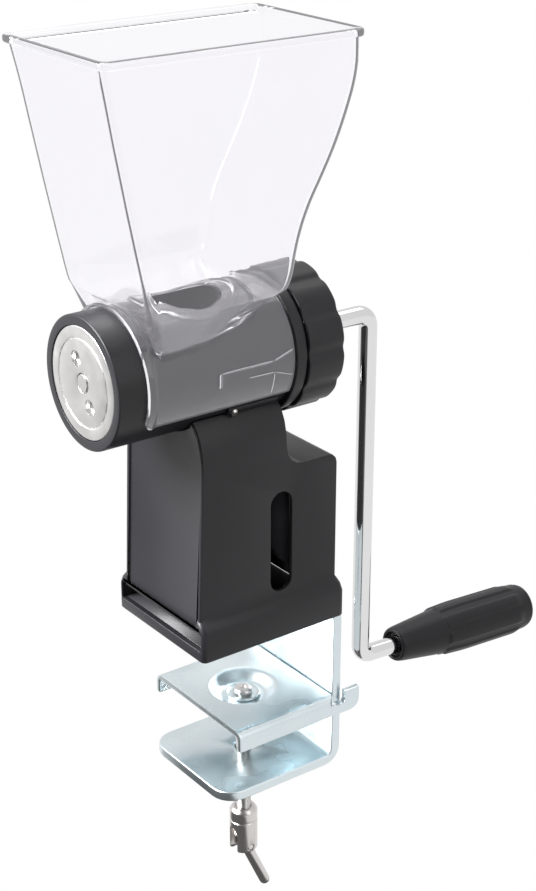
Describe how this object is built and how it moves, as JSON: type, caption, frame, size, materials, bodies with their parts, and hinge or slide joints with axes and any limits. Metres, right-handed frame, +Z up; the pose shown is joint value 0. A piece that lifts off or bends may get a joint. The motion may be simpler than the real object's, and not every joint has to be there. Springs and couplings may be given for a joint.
{
  "type": "grain mill",
  "caption": "Hand-cranked grain mill with a clear hopper, black grinding head and stand, adjusting ring, bent crank with a turning grip, and a screw clamp for a table edge.",
  "frame": {"origin": "middle of the foot's underside, where the mill stands on the table", "axes": "+Z up, -Y the front with the steel end disc, +Y the crank's end, +X the right side"},
  "size_m": [0.0868, 0.3004, 0.4731],
  "materials": {
    "black_plastic": "satin, moulded",
    "clear_plastic": "clear, polished",
    "steel": "turned and brushed",
    "burr_steel": "ground teeth",
    "chrome": "bright plated",
    "zinc_plate": "bright zinc plating",
    "bronze": "machined",
    "seal_rubber": "matt",
    "auger_plastic": "moulded"
  },
  "bodies": {
    "mill": {"stand": "black_plastic", "grinding_housing": "black_plastic", "end_disc": "steel", "fixed_burr": "burr_steel", "shaft_seal": "seal_rubber", "ring_clip": "steel", "sleeve_guide_screw": "steel", "housing_screw_front": "steel", "housing_screw_rear": "steel", "saddle_screw_left": "steel", "saddle_screw_right": "steel", "clamp_bracket": "zinc_plate", "bracket_screw_1": "steel", "bracket_screw_2": "steel", "bracket_screw_3": "steel", "bracket_screw_4": "steel", "clamp_nut": "zinc_plate"},
    "hopper_body": {"hopper": "clear_plastic"},
    "ring_body": {"adjusting_ring": "black_plastic"},
    "sleeve_body": {"thrust_sleeve": "steel", "rear_bush": "bronze"},
    "crank": {"drive_shaft": "steel", "auger": "auger_plastic", "rotating_burr": "burr_steel", "burr_key": "steel", "shaft_clip": "steel", "crank_set_screw": "steel", "crank_rod": "chrome", "grip_clip": "steel"},
    "grip_body": {"grip": "black_plastic", "grip_cap": "black_plastic"},
    "jaw": {"clamp_jaw": "zinc_plate", "jaw_washer": "zinc_plate"},
    "screw": {"clamp_screw": "steel", "screw_barrel": "steel", "tommy_pin": "steel"},
    "bar": {"tommy_bar": "steel"}
  },
  "joints": [
    {"name": "hopper_slide", "type": "slide", "parent": "mill", "child": "hopper_body", "axis": [0, -1, 0], "range_m": [0, 0.1]},
    {"name": "ring_turn", "type": "hinge", "parent": "mill", "child": "ring_body", "pos_m": [0, 0.0206, 0.1425], "axis": [0, 1, 0], "range_deg": [0, 270]},
    {"name": "sleeve_slide", "type": "slide", "parent": "mill", "child": "sleeve_body", "axis": [0, 1, 0], "range_m": [0, 0.0015]},
    {"name": "crank_turn", "type": "hinge", "parent": "sleeve_body", "child": "crank", "pos_m": [0, 0.041, 0.1425], "axis": [0, 1, 0], "continuous": true},
    {"name": "grip_turn", "type": "hinge", "parent": "crank", "child": "grip_body", "pos_m": [0, 0.0931, -0.056], "axis": [0, 0.9982, -0.0593], "continuous": true},
    {"name": "jaw_slide", "type": "slide", "parent": "mill", "child": "jaw", "axis": [0, 0, 1], "range_m": [-0.024, 0.024]},
    {"name": "screw_turn", "type": "hinge", "parent": "jaw", "child": "screw", "pos_m": [0, 0.007, -0.121], "axis": [0, 0, 1], "range_deg": [-7000, 7000]},
    {"name": "bar_swing", "type": "hinge", "parent": "screw", "child": "bar", "pos_m": [0, 0.007, -0.1444], "axis": [1, 0, 0], "range_deg": [-114.4, 65.6]}
  ],
  "couplings": [
    {"joint": "sleeve_slide", "follows": "ring_turn", "m_per_rad": 0.00031831},
    {"joint": "screw_turn", "follows": "jaw_slide", "rad_per_m": 5026.5}
  ]
}
